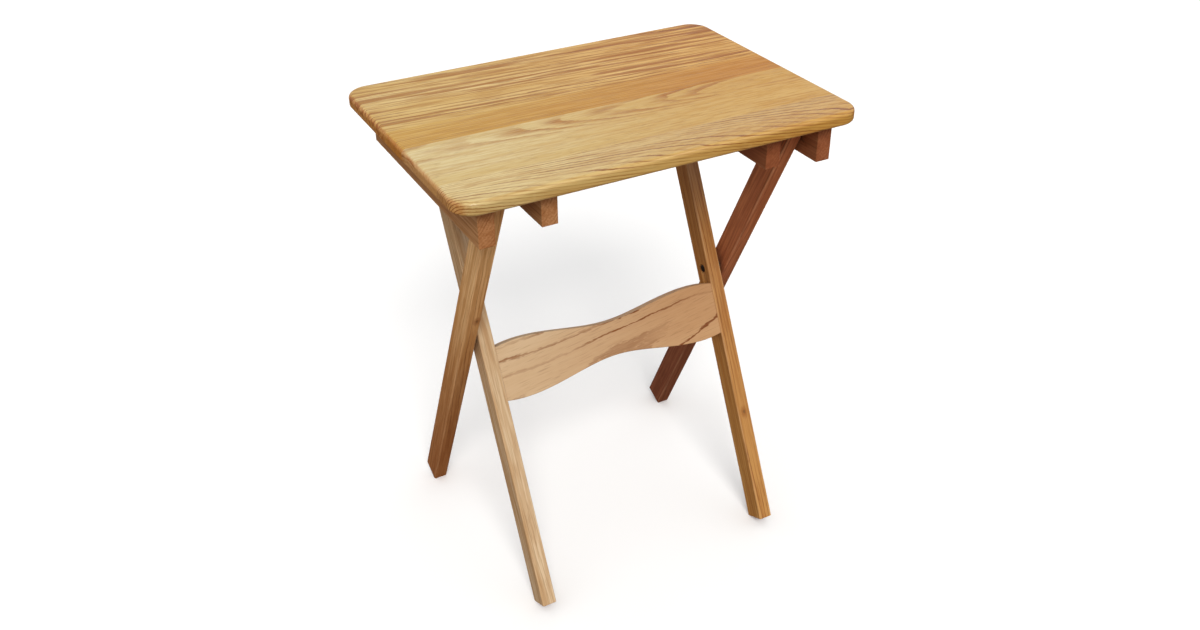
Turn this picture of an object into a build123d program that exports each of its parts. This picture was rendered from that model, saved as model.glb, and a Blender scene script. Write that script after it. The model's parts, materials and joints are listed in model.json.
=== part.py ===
from build123d import *

import os
from math import cos, radians, sin, sqrt, tan

# Folding tray table in oak: two crossed pairs of legs under a hinged, edge-glued top.
# Frame: origin on the floor under the middle of the top, +X along the long side of the top,
# +Y from the front edge (where the outer legs meet the top) to the back, +Z up. Millimetres.

os.makedirs("parts", exist_ok=True)

# Top
TOP_LENGTH = 550.0
TOP_WIDTH = 388.0
TOP_THICKNESS = 17.5
TOP_HEIGHT = 660.0
TOP_CORNER_RADIUS = 30.0
TOP_EDGE_ROUND = 6.0
BOTTOM_EDGE_ROUND = 4.0
BOARD_SEAMS = [-135.0, -25.0, 32.0]
BOARD_NAMES = ["front", "wide", "middle", "back"]

# Legs: both pairs share one length, lean and section
LEG_THICKNESS = 20.5
LEG_WIDTH = 34.0
LEG_EASE = 2.0
LEG_END_CHAMFER = 0.7
LEG_LEAN = 26.1
CROSS_HEIGHT = 359.0
OUTER_LEG_X = 208.55
INNER_LEG_X = 182.95
RUNNING_GAP = 0.35

# Cleats screwed under the top
CLEAT_THICKNESS = 21.0
CLEAT_LENGTH = 344.0
CLEAT_EASE = 1.0
OUTER_CLEAT_X = 233.8
OUTER_CLEAT_DEPTH = 53.5
INNER_CLEAT_X = 155.2
INNER_CLEAT_DEPTH = 45.5

# Leg stops glued and screwed between the cleats
STOP_HEIGHT = 25.0
STOP_BACK_Y = 170.0

# Stretcher between the inner legs, measured down the legs from the cross pivot
STRETCHER_THICKNESS = 19.0
STRETCHER_SETBACK = 1.5
STRETCHER_EASE = 1.2
STRETCHER_TOP_EDGE = {"end": 21.8, "crest": 18.8, "shoulder": 25.6, "waist": 32.8}
STRETCHER_BOTTOM_EDGE = {"end": 97.6, "crest": 99.0, "shoulder": 90.4, "waist": 81.8}
STRETCHER_CREST_X = 118.0
STRETCHER_SHOULDER_X = 66.0
STRETCHER_DOWEL_DROPS = [40.0, 79.0]
DOWEL_DIAMETER = 9.5
DOWEL_IN_STRETCHER = 25.0
DOWEL_IN_LEG = 14.0

# Pivots: the cross bolts' heads are sunk into the inner legs
PIVOT_DROP = 23.5
BOLT_RADIUS = 3.0
RUNNING_CLEARANCE = 0.05
LOOSE_CLEARANCE = 0.1
SPACER_RADIUS = 10.0
INSERT_RADIUS = 5.0
INSERT_LENGTH = 13.0
COUNTERBORE_RADIUS = 7.0
COUNTERBORE_DEPTH = 6.2
CROSS_HEAD_ACROSS = 10.0
CROSS_HEAD_THICKNESS = 4.0
CROSS_WASHER_RADIUS = 6.5
CROSS_WASHER_THICKNESS = 1.2
TOP_HEAD_RADIUS = 7.0
TOP_HEAD_THICKNESS = 3.2
HEAD_CHAMFER = 0.6
SOCKET_ACROSS = 4.0
SOCKET_DEPTH = 1.8

# Wood screws
SCREW_RADIUS = 2.0
SCREW_HEAD_RADIUS = 4.2
SCREW_HEAD_HEIGHT = 2.6
CROSS_RECESS_LENGTH = 4.2
CROSS_RECESS_WIDTH = 1.2
CROSS_RECESS_RADIUS = 0.4
CROSS_RECESS_DEPTH = 1.8
SCREW_IN_BOARD = 12.0
SCREW_LENGTH = 38.0
SCREW_POCKET_RADIUS = 4.6
CLEAT_SCREW_Y = [-153.0, -80.0, 4.0, 82.0, 152.0]
STOP_SCREW_Y = 159.0
STOP_SCREW_OFFSET_X = 16.0

# Derived places
UNDERSIDE = TOP_HEIGHT - TOP_THICKNESS
LEAN = radians(LEG_LEAN)
PIVOT_HEIGHT = UNDERSIDE - PIVOT_DROP
LEG_ABOVE = (PIVOT_HEIGHT - CROSS_HEIGHT) / cos(LEAN)
LEG_BELOW = (CROSS_HEIGHT - (LEG_WIDTH / 2 - LEG_END_CHAMFER) * sin(LEAN)) / cos(LEAN)
TIP_RADIUS = PIVOT_DROP - RUNNING_GAP
TIP_SHOULDER = sqrt(TIP_RADIUS**2 - (LEG_WIDTH / 2) ** 2)
PIVOT_Y = LEG_ABOVE * sin(LEAN)
OUTER_LEG_INNER_FACE = OUTER_LEG_X - LEG_THICKNESS / 2
OUTER_LEG_OUTER_FACE = OUTER_LEG_X + LEG_THICKNESS / 2
INNER_LEG_INNER_FACE = INNER_LEG_X - LEG_THICKNESS / 2
INNER_LEG_OUTER_FACE = INNER_LEG_X + LEG_THICKNESS / 2
OUTER_CLEAT_INNER_FACE = OUTER_CLEAT_X - CLEAT_THICKNESS / 2
INNER_CLEAT_OUTER_FACE = INNER_CLEAT_X + CLEAT_THICKNESS / 2
STRETCHER_FRONT = LEG_WIDTH / 2 - STRETCHER_SETBACK
STRETCHER_MIDDLE = STRETCHER_FRONT - STRETCHER_THICKNESS / 2
SIDES = {"left": -1, "right": 1}
BACKWARD, FORWARD = 1, -1


def finish(part, name):
    """Label a finished sub-part and write its STEP file."""
    part.label = name
    export_step(part, f"parts/{name}.step")


def leg_plane(x, lean_to):
    """Plane across a leg: origin on the cross pivot, local y up the leg, normal +X."""
    return Plane(
        origin=(x, 0, CROSS_HEIGHT),
        x_dir=(0, cos(LEAN), -lean_to * sin(LEAN)),
        z_dir=(1, 0, 0),
    )


def face_plane(distance):
    """Plane parallel to the front faces of the inner legs, local y up the legs."""
    normal = (0, -cos(LEAN), sin(LEAN))
    origin = (0, distance * normal[1], CROSS_HEIGHT + distance * normal[2])
    return Plane(origin=origin, x_dir=(1, 0, 0), z_dir=normal)


def cross_plane(x, y, z):
    """Plane across the table, facing +X, with local x along +Y."""
    return Plane(origin=(x, y, z), x_dir=(0, 1, 0), z_dir=(1, 0, 0))


def side_plane(side, x, y, z):
    """Plane facing out of one side of the table, at a distance x from the middle."""
    return Plane(origin=(side * x, y, z), x_dir=(0, side, 0), z_dir=(side, 0, 0))


# ---------------------------------------------------------------- top boards
def make_board(name, front_y, back_y, screw_places):
    """One edge-glued board, cut from the rounded outline of the whole top."""
    with BuildPart() as board:
        with BuildSketch(Plane.XY.offset(UNDERSIDE)):
            RectangleRounded(TOP_LENGTH, TOP_WIDTH, TOP_CORNER_RADIUS)
        extrude(amount=TOP_THICKNESS)
        fillet(board.faces().sort_by(Axis.Z)[-1].edges(), TOP_EDGE_ROUND)
        fillet(board.faces().sort_by(Axis.Z)[0].edges(), BOTTOM_EDGE_ROUND)
        if front_y > -TOP_WIDTH / 2:
            split(bisect_by=Plane(origin=(0, front_y, 0), z_dir=(0, 1, 0)), keep=Keep.TOP)
        if back_y < TOP_WIDTH / 2:
            split(bisect_by=Plane(origin=(0, back_y, 0), z_dir=(0, 1, 0)), keep=Keep.BOTTOM)
        with BuildSketch(Plane.XY.offset(UNDERSIDE)):
            with Locations(*screw_places):
                Circle(SCREW_RADIUS)
        extrude(amount=SCREW_IN_BOARD, mode=Mode.SUBTRACT)
    finish(board.part, name)


cleat_screw_places = [
    (side * x, y)
    for side in SIDES.values()
    for x in (INNER_CLEAT_X, OUTER_CLEAT_X)
    for y in CLEAT_SCREW_Y
]
stop_middle_x = (OUTER_CLEAT_INNER_FACE + INNER_CLEAT_OUTER_FACE) / 2
stop_screw_places = [
    (side * (stop_middle_x + shift), STOP_SCREW_Y)
    for side in SIDES.values()
    for shift in (-STOP_SCREW_OFFSET_X, STOP_SCREW_OFFSET_X)
]
board_edges = [-TOP_WIDTH / 2, *BOARD_SEAMS, TOP_WIDTH / 2]
for board_name, front_y, back_y in zip(BOARD_NAMES, board_edges[:-1], board_edges[1:]):
    places = [
        place
        for place in cleat_screw_places + stop_screw_places
        if front_y < place[1] < back_y
    ]
    make_board(f"top_board_{board_name}", front_y, back_y, places)


# -------------------------------------------------------------------- cleats
def make_cleat(name, x, depth, has_pivot):
    """A rail under the top, with pocketed screw holes and, outside, the pivot insert's hole."""
    side = 1 if x > 0 else -1
    bottom = UNDERSIDE - depth
    pocket_depth = depth + SCREW_IN_BOARD - SCREW_LENGTH
    with BuildPart() as cleat:
        with BuildSketch(Plane.XY.offset(bottom)):
            with Locations((x, 0)):
                Rectangle(CLEAT_THICKNESS, CLEAT_LENGTH)
        extrude(amount=depth)
        eased = cleat.edges().filter_by(lambda edge: edge.center().Z < UNDERSIDE - CLEAT_EASE)
        fillet(eased, CLEAT_EASE)
        with BuildSketch(Plane.XY.offset(bottom)):
            with Locations(*[(x, y) for y in CLEAT_SCREW_Y]):
                Circle(SCREW_RADIUS)
        extrude(amount=depth, mode=Mode.SUBTRACT)
        with BuildSketch(Plane.XY.offset(bottom)):
            with Locations(*[(x, y) for y in CLEAT_SCREW_Y]):
                Circle(SCREW_POCKET_RADIUS)
        extrude(amount=pocket_depth, mode=Mode.SUBTRACT)
        with BuildSketch(Plane.XY.offset(bottom + pocket_depth)):
            with Locations(*[(x, y) for y in CLEAT_SCREW_Y]):
                Circle(SCREW_HEAD_RADIUS)
        extrude(amount=SCREW_HEAD_HEIGHT, mode=Mode.SUBTRACT)
        if has_pivot:
            with BuildSketch(side_plane(side, OUTER_CLEAT_INNER_FACE, -PIVOT_Y, PIVOT_HEIGHT)):
                Circle(INSERT_RADIUS)
            extrude(amount=INSERT_LENGTH, mode=Mode.SUBTRACT)
    finish(cleat.part, name)


for side_name, side in SIDES.items():
    make_cleat(f"outer_cleat_{side_name}", side * OUTER_CLEAT_X, OUTER_CLEAT_DEPTH, True)
    make_cleat(f"inner_cleat_{side_name}", side * INNER_CLEAT_X, INNER_CLEAT_DEPTH, False)


# ----------------------------------------------------------------- leg stops
def stop_face_y(height):
    """Y of the stop's front face, parallel to the back of the inner legs, at a height."""
    leg_back = (LEG_WIDTH / 2 + RUNNING_GAP) / cos(LEAN)
    return (height - CROSS_HEIGHT) * tan(LEAN) + leg_back


def make_leg_stop(name, side):
    """Block between the cleats that the tip of an inner leg rests against."""
    bottom = UNDERSIDE - STOP_HEIGHT
    with BuildPart() as leg_stop:
        with BuildSketch(cross_plane(side * stop_middle_x, 0, 0)):
            with BuildLine():
                Polyline(
                    (stop_face_y(bottom), bottom),
                    (STOP_BACK_Y, bottom),
                    (STOP_BACK_Y, UNDERSIDE),
                    (stop_face_y(UNDERSIDE), UNDERSIDE),
                    close=True,
                )
            make_face()
        extrude(amount=(OUTER_CLEAT_INNER_FACE - INNER_CLEAT_OUTER_FACE) / 2, both=True)
        places = [place for place in stop_screw_places if place[0] * side > 0]
        with BuildSketch(Plane.XY.offset(bottom)):
            with Locations(*places):
                Circle(SCREW_RADIUS)
        extrude(amount=STOP_HEIGHT, mode=Mode.SUBTRACT)
        with BuildSketch(Plane.XY.offset(bottom)):
            with Locations(*places):
                Circle(SCREW_HEAD_RADIUS)
        extrude(amount=SCREW_HEAD_HEIGHT, mode=Mode.SUBTRACT)
    finish(leg_stop.part, name)


for side_name, side in SIDES.items():
    make_leg_stop(f"leg_stop_{side_name}", side)


# -------------------------------------------------------------------- screws
def make_screws(name, places, length):
    """Countersunk wood screws, heads down, that reach up into the boards."""
    tip = UNDERSIDE + SCREW_IN_BOARD
    seat = tip - length
    with BuildPart() as screws:
        with BuildSketch(Plane.XY.offset(seat)):
            with Locations(*places):
                Circle(SCREW_HEAD_RADIUS)
        extrude(amount=SCREW_HEAD_HEIGHT)
        with BuildSketch(Plane.XY.offset(seat + SCREW_HEAD_HEIGHT)):
            with Locations(*places):
                Circle(SCREW_RADIUS)
        extrude(amount=length - SCREW_HEAD_HEIGHT)
        with BuildSketch(Plane.XY.offset(seat)):
            with Locations(*places):
                RectangleRounded(CROSS_RECESS_LENGTH, CROSS_RECESS_WIDTH, CROSS_RECESS_RADIUS)
                RectangleRounded(CROSS_RECESS_WIDTH, CROSS_RECESS_LENGTH, CROSS_RECESS_RADIUS)
        extrude(amount=CROSS_RECESS_DEPTH, mode=Mode.SUBTRACT)
    finish(screws.part, name)


for side_name, side in SIDES.items():
    places = [place for place in cleat_screw_places if place[0] * side > 0]
    make_screws(f"cleat_screws_{side_name}", places, SCREW_LENGTH)
make_screws("stop_screws", stop_screw_places, STOP_HEIGHT + SCREW_IN_BOARD)


# ---------------------------------------------------------------------- legs
def make_leg(name, x, lean_to, drills):
    """A straight leg with a rounded tip and a square-cut foot that stands on one edge.

    drills holds (height up the leg from the cross pivot, from_x, to_x, radius) for each hole
    along X.
    """
    plane = leg_plane(x, lean_to)
    half = LEG_WIDTH / 2
    with BuildPart() as leg:
        with BuildSketch(plane):
            with BuildLine():
                Polyline(
                    (-half, LEG_ABOVE + TIP_SHOULDER),
                    (-half, -LEG_BELOW),
                    (half, -LEG_BELOW),
                    (half, LEG_ABOVE + TIP_SHOULDER),
                )
                ThreePointArc(
                    (half, LEG_ABOVE + TIP_SHOULDER),
                    (0, LEG_ABOVE + TIP_RADIUS),
                    (-half, LEG_ABOVE + TIP_SHOULDER),
                )
            make_face()
        extrude(amount=LEG_THICKNESS / 2, both=True)
        fillet(leg.edges().filter_by(Axis((0, 0, 0), plane.y_dir)), LEG_EASE)
        chamfer(leg.faces().sort_by(Axis.Z)[0].edges(), LEG_END_CHAMFER)
        for height, from_x, to_x, radius in drills:
            center = plane.origin + plane.y_dir * height
            with BuildSketch(cross_plane(from_x, center.Y, center.Z)):
                Circle(radius)
            extrude(amount=to_x - from_x, mode=Mode.SUBTRACT)
        if lean_to == BACKWARD:
            side = 1 if x > 0 else -1
            with BuildSketch(side_plane(side, INNER_LEG_INNER_FACE, 0, 0)):
                with Locations(*[dowel_place(side, drop) for drop in STRETCHER_DOWEL_DROPS]):
                    Circle(DOWEL_DIAMETER / 2)
            extrude(amount=DOWEL_IN_LEG, mode=Mode.SUBTRACT)
    finish(leg.part, name)


def dowel_place(side, drop):
    """Local place, on a side plane, of a stretcher dowel at a drop down the leg."""
    middle = face_plane(STRETCHER_MIDDLE)
    center = middle.origin - middle.y_dir * drop
    return (side * center.Y, center.Z)


bore = BOLT_RADIUS + RUNNING_CLEARANCE
insert_end = OUTER_LEG_INNER_FACE + INSERT_LENGTH
counterbore_end = INNER_LEG_INNER_FACE + COUNTERBORE_DEPTH
for side_name, side in SIDES.items():
    outer_drills = [
        (0, side * OUTER_LEG_INNER_FACE, side * insert_end, INSERT_RADIUS),
        (LEG_ABOVE, side * OUTER_LEG_INNER_FACE, side * OUTER_LEG_OUTER_FACE, bore),
    ]
    inner_drills = [
        (0, side * INNER_LEG_INNER_FACE, side * INNER_LEG_OUTER_FACE, bore),
        (0, side * INNER_LEG_INNER_FACE, side * counterbore_end, COUNTERBORE_RADIUS),
    ]
    make_leg(f"outer_leg_{side_name}", side * OUTER_LEG_X, FORWARD, outer_drills)
    make_leg(f"inner_leg_{side_name}", side * INNER_LEG_X, BACKWARD, inner_drills)


# ----------------------------------------------------------------- stretcher
def stretcher_edge(edge):
    """Points of one wavy edge, from the left leg to the right one."""
    half = [
        (0.0, edge["waist"]),
        (STRETCHER_SHOULDER_X, edge["shoulder"]),
        (STRETCHER_CREST_X, edge["crest"]),
        (INNER_LEG_INNER_FACE, edge["end"]),
    ]
    mirrored = [(-x, drop) for x, drop in reversed(half[1:])]
    return [(x, -drop) for x, drop in mirrored + half]


with BuildPart() as stretcher:
    with BuildSketch(face_plane(STRETCHER_FRONT)):
        upper = stretcher_edge(STRETCHER_TOP_EDGE)
        lower = stretcher_edge(STRETCHER_BOTTOM_EDGE)
        with BuildLine():
            Spline(*upper)
            Line(upper[-1], lower[-1])
            Spline(*reversed(lower))
            Line(lower[0], upper[0])
        make_face()
    extrude(amount=-STRETCHER_THICKNESS)
    wavy = stretcher.edges().filter_by(GeomType.BSPLINE)
    fillet(wavy, STRETCHER_EASE)
    for side in SIDES.values():
        with BuildSketch(side_plane(side, INNER_LEG_INNER_FACE, 0, 0)):
            with Locations(*[dowel_place(side, drop) for drop in STRETCHER_DOWEL_DROPS]):
                Circle(DOWEL_DIAMETER / 2)
        extrude(amount=-DOWEL_IN_STRETCHER, mode=Mode.SUBTRACT)
finish(stretcher.part, "stretcher")

with BuildPart() as stretcher_dowels:
    for side in SIDES.values():
        with BuildSketch(side_plane(side, INNER_LEG_INNER_FACE - DOWEL_IN_STRETCHER, 0, 0)):
            with Locations(*[dowel_place(side, drop) for drop in STRETCHER_DOWEL_DROPS]):
                Circle(DOWEL_DIAMETER / 2)
        extrude(amount=DOWEL_IN_STRETCHER + DOWEL_IN_LEG)
finish(stretcher_dowels.part, "stretcher_dowels")


# -------------------------------------------------------------- pivot fittings
def make_ring(name, side, span, center, outer_radius, inner_radius):
    """A washer, spacer or threaded insert along X; span is its two distances from the middle."""
    from_x, to_x = span
    with BuildPart() as ring:
        with BuildSketch(side_plane(side, from_x, *center)):
            Circle(outer_radius)
            Circle(inner_radius, mode=Mode.SUBTRACT)
        extrude(amount=to_x - from_x)
    finish(ring.part, name)


def make_bolt(name, side, head_span, end_x, center, hexagonal):
    """A pivot bolt along X, its head towards the middle of the table."""
    head_from, head_to = head_span
    with BuildPart() as bolt:
        with BuildSketch(side_plane(side, head_from, *center)):
            if hexagonal:
                RegularPolygon(CROSS_HEAD_ACROSS / 2, 6, major_radius=False)
            else:
                Circle(TOP_HEAD_RADIUS)
        extrude(amount=head_to - head_from)
        rim = bolt.faces().sort_by(Axis.X)[0 if side > 0 else -1].edges()
        chamfer(rim, HEAD_CHAMFER)
        with BuildSketch(side_plane(side, head_to, *center)):
            Circle(BOLT_RADIUS)
        extrude(amount=end_x - head_to)
        if not hexagonal:
            with BuildSketch(side_plane(side, head_from, *center)):
                RegularPolygon(SOCKET_ACROSS / 2, 6, major_radius=False)
            extrude(amount=SOCKET_DEPTH, mode=Mode.SUBTRACT)
    finish(bolt.part, name)


loose_bore = BOLT_RADIUS + LOOSE_CLEARANCE
washer_to = counterbore_end - RUNNING_GAP
washer_from = washer_to - CROSS_WASHER_THICKNESS
cross_head = (washer_from - CROSS_HEAD_THICKNESS, washer_from)
washer = (washer_from, washer_to)
cross_spacer = (INNER_LEG_OUTER_FACE + RUNNING_GAP, OUTER_LEG_INNER_FACE)
cross_insert = (OUTER_LEG_INNER_FACE, insert_end)
top_head_to = OUTER_LEG_INNER_FACE - RUNNING_GAP
top_head = (top_head_to - TOP_HEAD_THICKNESS, top_head_to)
top_spacer = (OUTER_LEG_OUTER_FACE + RUNNING_GAP, OUTER_CLEAT_INNER_FACE)
top_insert = (OUTER_CLEAT_INNER_FACE, OUTER_CLEAT_INNER_FACE + INSERT_LENGTH)
cross = (0.0, CROSS_HEIGHT)
hinge = (-PIVOT_Y, PIVOT_HEIGHT)
for side_name, side in SIDES.items():
    make_bolt(f"cross_bolt_{side_name}", side, cross_head, insert_end, cross, True)
    make_ring(f"cross_washer_{side_name}", side, washer, cross, CROSS_WASHER_RADIUS, loose_bore)
    make_ring(f"cross_spacer_{side_name}", side, cross_spacer, cross, SPACER_RADIUS, loose_bore)
    make_ring(f"cross_insert_{side_name}", side, cross_insert, cross, INSERT_RADIUS, BOLT_RADIUS)
    make_bolt(f"top_bolt_{side_name}", side, top_head, top_insert[1], hinge, False)
    make_ring(f"top_spacer_{side_name}", side, top_spacer, hinge, SPACER_RADIUS, loose_bore)
    make_ring(f"top_insert_{side_name}", side, top_insert, hinge, INSERT_RADIUS, BOLT_RADIUS)
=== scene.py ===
"""Looks of the folding tray table: varnished honey oak, pivot hardware and a plain studio.

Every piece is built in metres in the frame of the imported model, with its place in its mesh.
"""

from __future__ import annotations

import json
import logging
import math
from collections.abc import Callable
from dataclasses import dataclass
from enum import Enum
from typing import Union

import bmesh
import bpy
from mathutils import Matrix, Vector


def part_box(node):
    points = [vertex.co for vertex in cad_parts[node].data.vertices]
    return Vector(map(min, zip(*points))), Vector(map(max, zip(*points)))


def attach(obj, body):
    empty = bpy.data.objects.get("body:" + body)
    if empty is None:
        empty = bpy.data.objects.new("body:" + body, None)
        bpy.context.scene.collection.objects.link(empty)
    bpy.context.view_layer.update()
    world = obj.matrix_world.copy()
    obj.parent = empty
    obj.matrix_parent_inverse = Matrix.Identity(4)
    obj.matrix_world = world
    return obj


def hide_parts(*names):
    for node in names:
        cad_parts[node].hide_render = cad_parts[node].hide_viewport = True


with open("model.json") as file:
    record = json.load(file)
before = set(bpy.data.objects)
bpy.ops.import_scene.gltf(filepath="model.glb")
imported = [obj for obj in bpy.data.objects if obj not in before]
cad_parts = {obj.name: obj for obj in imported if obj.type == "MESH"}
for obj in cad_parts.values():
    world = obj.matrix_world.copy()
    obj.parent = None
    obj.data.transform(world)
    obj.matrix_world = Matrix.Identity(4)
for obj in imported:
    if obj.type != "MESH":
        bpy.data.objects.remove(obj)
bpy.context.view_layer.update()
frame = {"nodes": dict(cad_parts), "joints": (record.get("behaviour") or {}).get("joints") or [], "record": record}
LOG = logging.getLogger("tray_table")
MM = 0.001
LEG_LEAN = math.radians(26.1)
SHARP_EDGE_DEG = 32.0
SHARP_WOOD_DEG = 28.0
FLAT_FACE_WEIGHT = 80

Colour = tuple[float, float, float]
Point = tuple[float, float, float]
Outline = list[tuple[float, float]]
Socket = bpy.types.NodeSocket
Value = Union[Socket, float, tuple]


class Side(Enum):
    """The two ends of the table, by the sign of X."""

    LEFT = -1
    RIGHT = 1

    @property
    def label(self) -> str:
        """Name of this side in the names of nodes."""
        return self.name.lower()


# ------------------------------------------------------------------ shader helper
class Shader:
    """Builds one node material, node by node."""

    def __init__(self, name: str) -> None:
        """Start an empty material.

        Args:
            name: name of the material.
        """
        self.material = bpy.data.materials.new(name)
        self.material.use_nodes = True
        self.tree = self.material.node_tree
        self.tree.nodes.clear()
        self.output = self.tree.nodes.new("ShaderNodeOutputMaterial")
        self.surface = self.tree.nodes.new("ShaderNodeBsdfPrincipled")
        self.tree.links.new(self.surface.outputs["BSDF"], self.output.inputs["Surface"])

    def feed(self, socket: Socket, value: Value) -> None:
        """Link a socket to another socket, or set its value.

        Args:
            socket: the input to fill.
            value: an output socket, a number or a tuple.
        """
        if isinstance(value, Socket):
            self.tree.links.new(value, socket)
        else:
            socket.default_value = value

    def math(self, operation: str, a: Value, b: Value = 0.0, clamp: bool = False) -> Socket:
        """One Math node.

        Args:
            operation: Blender's name of the operation.
            a: first input.
            b: second input.
            clamp: whether the result is kept between 0 and 1.

        Returns:
            The value socket.
        """
        node = self.tree.nodes.new("ShaderNodeMath")
        node.operation = operation
        node.use_clamp = clamp
        self.feed(node.inputs[0], a)
        self.feed(node.inputs[1], b)
        return node.outputs[0]

    def vector(self, operation: str, a: Value, b: Value) -> Socket:
        """One Vector Math node that gives a vector.

        Args:
            operation: Blender's name of the operation.
            a: first input.
            b: second input.

        Returns:
            The vector socket.
        """
        node = self.tree.nodes.new("ShaderNodeVectorMath")
        node.operation = operation
        self.feed(node.inputs[0], a)
        self.feed(node.inputs[1], b)
        return node.outputs["Vector"]

    def length(self, vector: Socket) -> Socket:
        """Length of a vector.

        Args:
            vector: the vector socket.

        Returns:
            The length socket.
        """
        node = self.tree.nodes.new("ShaderNodeVectorMath")
        node.operation = "LENGTH"
        self.feed(node.inputs[0], vector)
        return node.outputs["Value"]

    def axes(self, vector: Socket) -> tuple[Socket, Socket, Socket]:
        """Split a vector.

        Args:
            vector: the vector socket.

        Returns:
            Its X, Y and Z sockets.
        """
        node = self.tree.nodes.new("ShaderNodeSeparateXYZ")
        self.feed(node.inputs[0], vector)
        return tuple(node.outputs)

    def noise(self, place: Value, stretch: Point, detail: float = 2.0, rough: float = 0.5) -> Socket:
        """Noise with its own scale along each axis.

        Args:
            place: vector socket in metres.
            stretch: cycles per metre along, across and through the grain.
            detail: octaves.
            rough: roughness of the octaves.

        Returns:
            The factor socket, about 0.5 on average.
        """
        node = self.tree.nodes.new("ShaderNodeTexNoise")
        node.inputs["Scale"].default_value = 1.0
        node.inputs["Detail"].default_value = detail
        node.inputs["Roughness"].default_value = rough
        self.feed(node.inputs["Vector"], self.vector("MULTIPLY", place, stretch))
        return node.outputs[0]

    def band(
        self, value: Value, low: float, high: float, to_low: float = 0.0, to_high: float = 1.0
    ) -> Socket:
        """Smooth step of a value from one range to another.

        Args:
            value: socket to map.
            low: start of the range.
            high: end of the range.
            to_low: result at and below the start.
            to_high: result at and above the end.

        Returns:
            The result socket.
        """
        node = self.tree.nodes.new("ShaderNodeMapRange")
        node.interpolation_type = "SMOOTHSTEP"
        for key, number in zip((1, 2, 3, 4), (low, high, to_low, to_high)):
            node.inputs[key].default_value = number
        self.feed(node.inputs[0], value)
        return node.outputs[0]

    def mix(self, factor: Value, a: Value, b: Value) -> Socket:
        """Mix two colours.

        Args:
            factor: share of the second colour.
            a: first colour.
            b: second colour.

        Returns:
            The colour socket.
        """
        node = self.tree.nodes.new("ShaderNodeMix")
        node.data_type = "RGBA"
        self.feed(node.inputs[0], factor)
        for key, colour in ((6, a), (7, b)):
            self.feed(node.inputs[key], (*colour, 1.0) if isinstance(colour, tuple) else colour)
        return node.outputs[2]

    def bump(self, height: Value, depth: float, strength: float = 1.0) -> None:
        """Give the surface a bump.

        Args:
            height: height socket, 0 to 1.
            depth: depth in metres that a height of 1 stands for.
            strength: strength of the effect.
        """
        node = self.tree.nodes.new("ShaderNodeBump")
        node.inputs["Strength"].default_value = strength
        node.inputs["Distance"].default_value = depth
        self.feed(node.inputs["Height"], height)
        self.tree.links.new(node.outputs["Normal"], self.surface.inputs["Normal"])


# ----------------------------------------------------------------------- finishes
@dataclass(frozen=True)
class Grain:
    """How the wood of one piece lies: the growth rings are cylinders about a pith line."""

    middle: Point
    half: Point
    along: Point
    face: Point
    pith_across: float
    pith_through: float
    ring: float = 0.0042
    slope_deg: float = 0.0
    dive_deg: float = 0.0
    waver: float = 0.010
    figure: float = 1.0
    line_width: float = 0.55
    reach: tuple[float, float] = (0.5, 1.0)
    # Tone from one end of the piece to the other: the wood's tone together with painted light and shade.
    tint_start: Colour = (1.0, 1.0, 1.0)
    tint_end: Colour = (1.0, 1.0, 1.0)
    fine: float = 0.42
    front_worn: bool = False
    knot: Point | None = None
    knot_radius: float = 3.2 * MM
    seed: float = 0.0

    def turn(self) -> Matrix:
        """Rotation from the table's axes to the piece's.

        Returns:
            A matrix whose rows point along, across and through the piece.
        """
        along = Vector(self.along).normalized()
        through = Vector(self.face).normalized()
        return Matrix((along, through.cross(along), through))

    def basis(self) -> Matrix:
        """Rotation from the table's axes to the grain's.

        Returns:
            The piece's rotation with the slope and the dive of the grain.
        """
        slope = Matrix.Rotation(math.radians(self.slope_deg), 3, "Z")
        dive = Matrix.Rotation(math.radians(self.dive_deg), 3, "Y")
        return dive @ slope @ self.turn()


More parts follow.
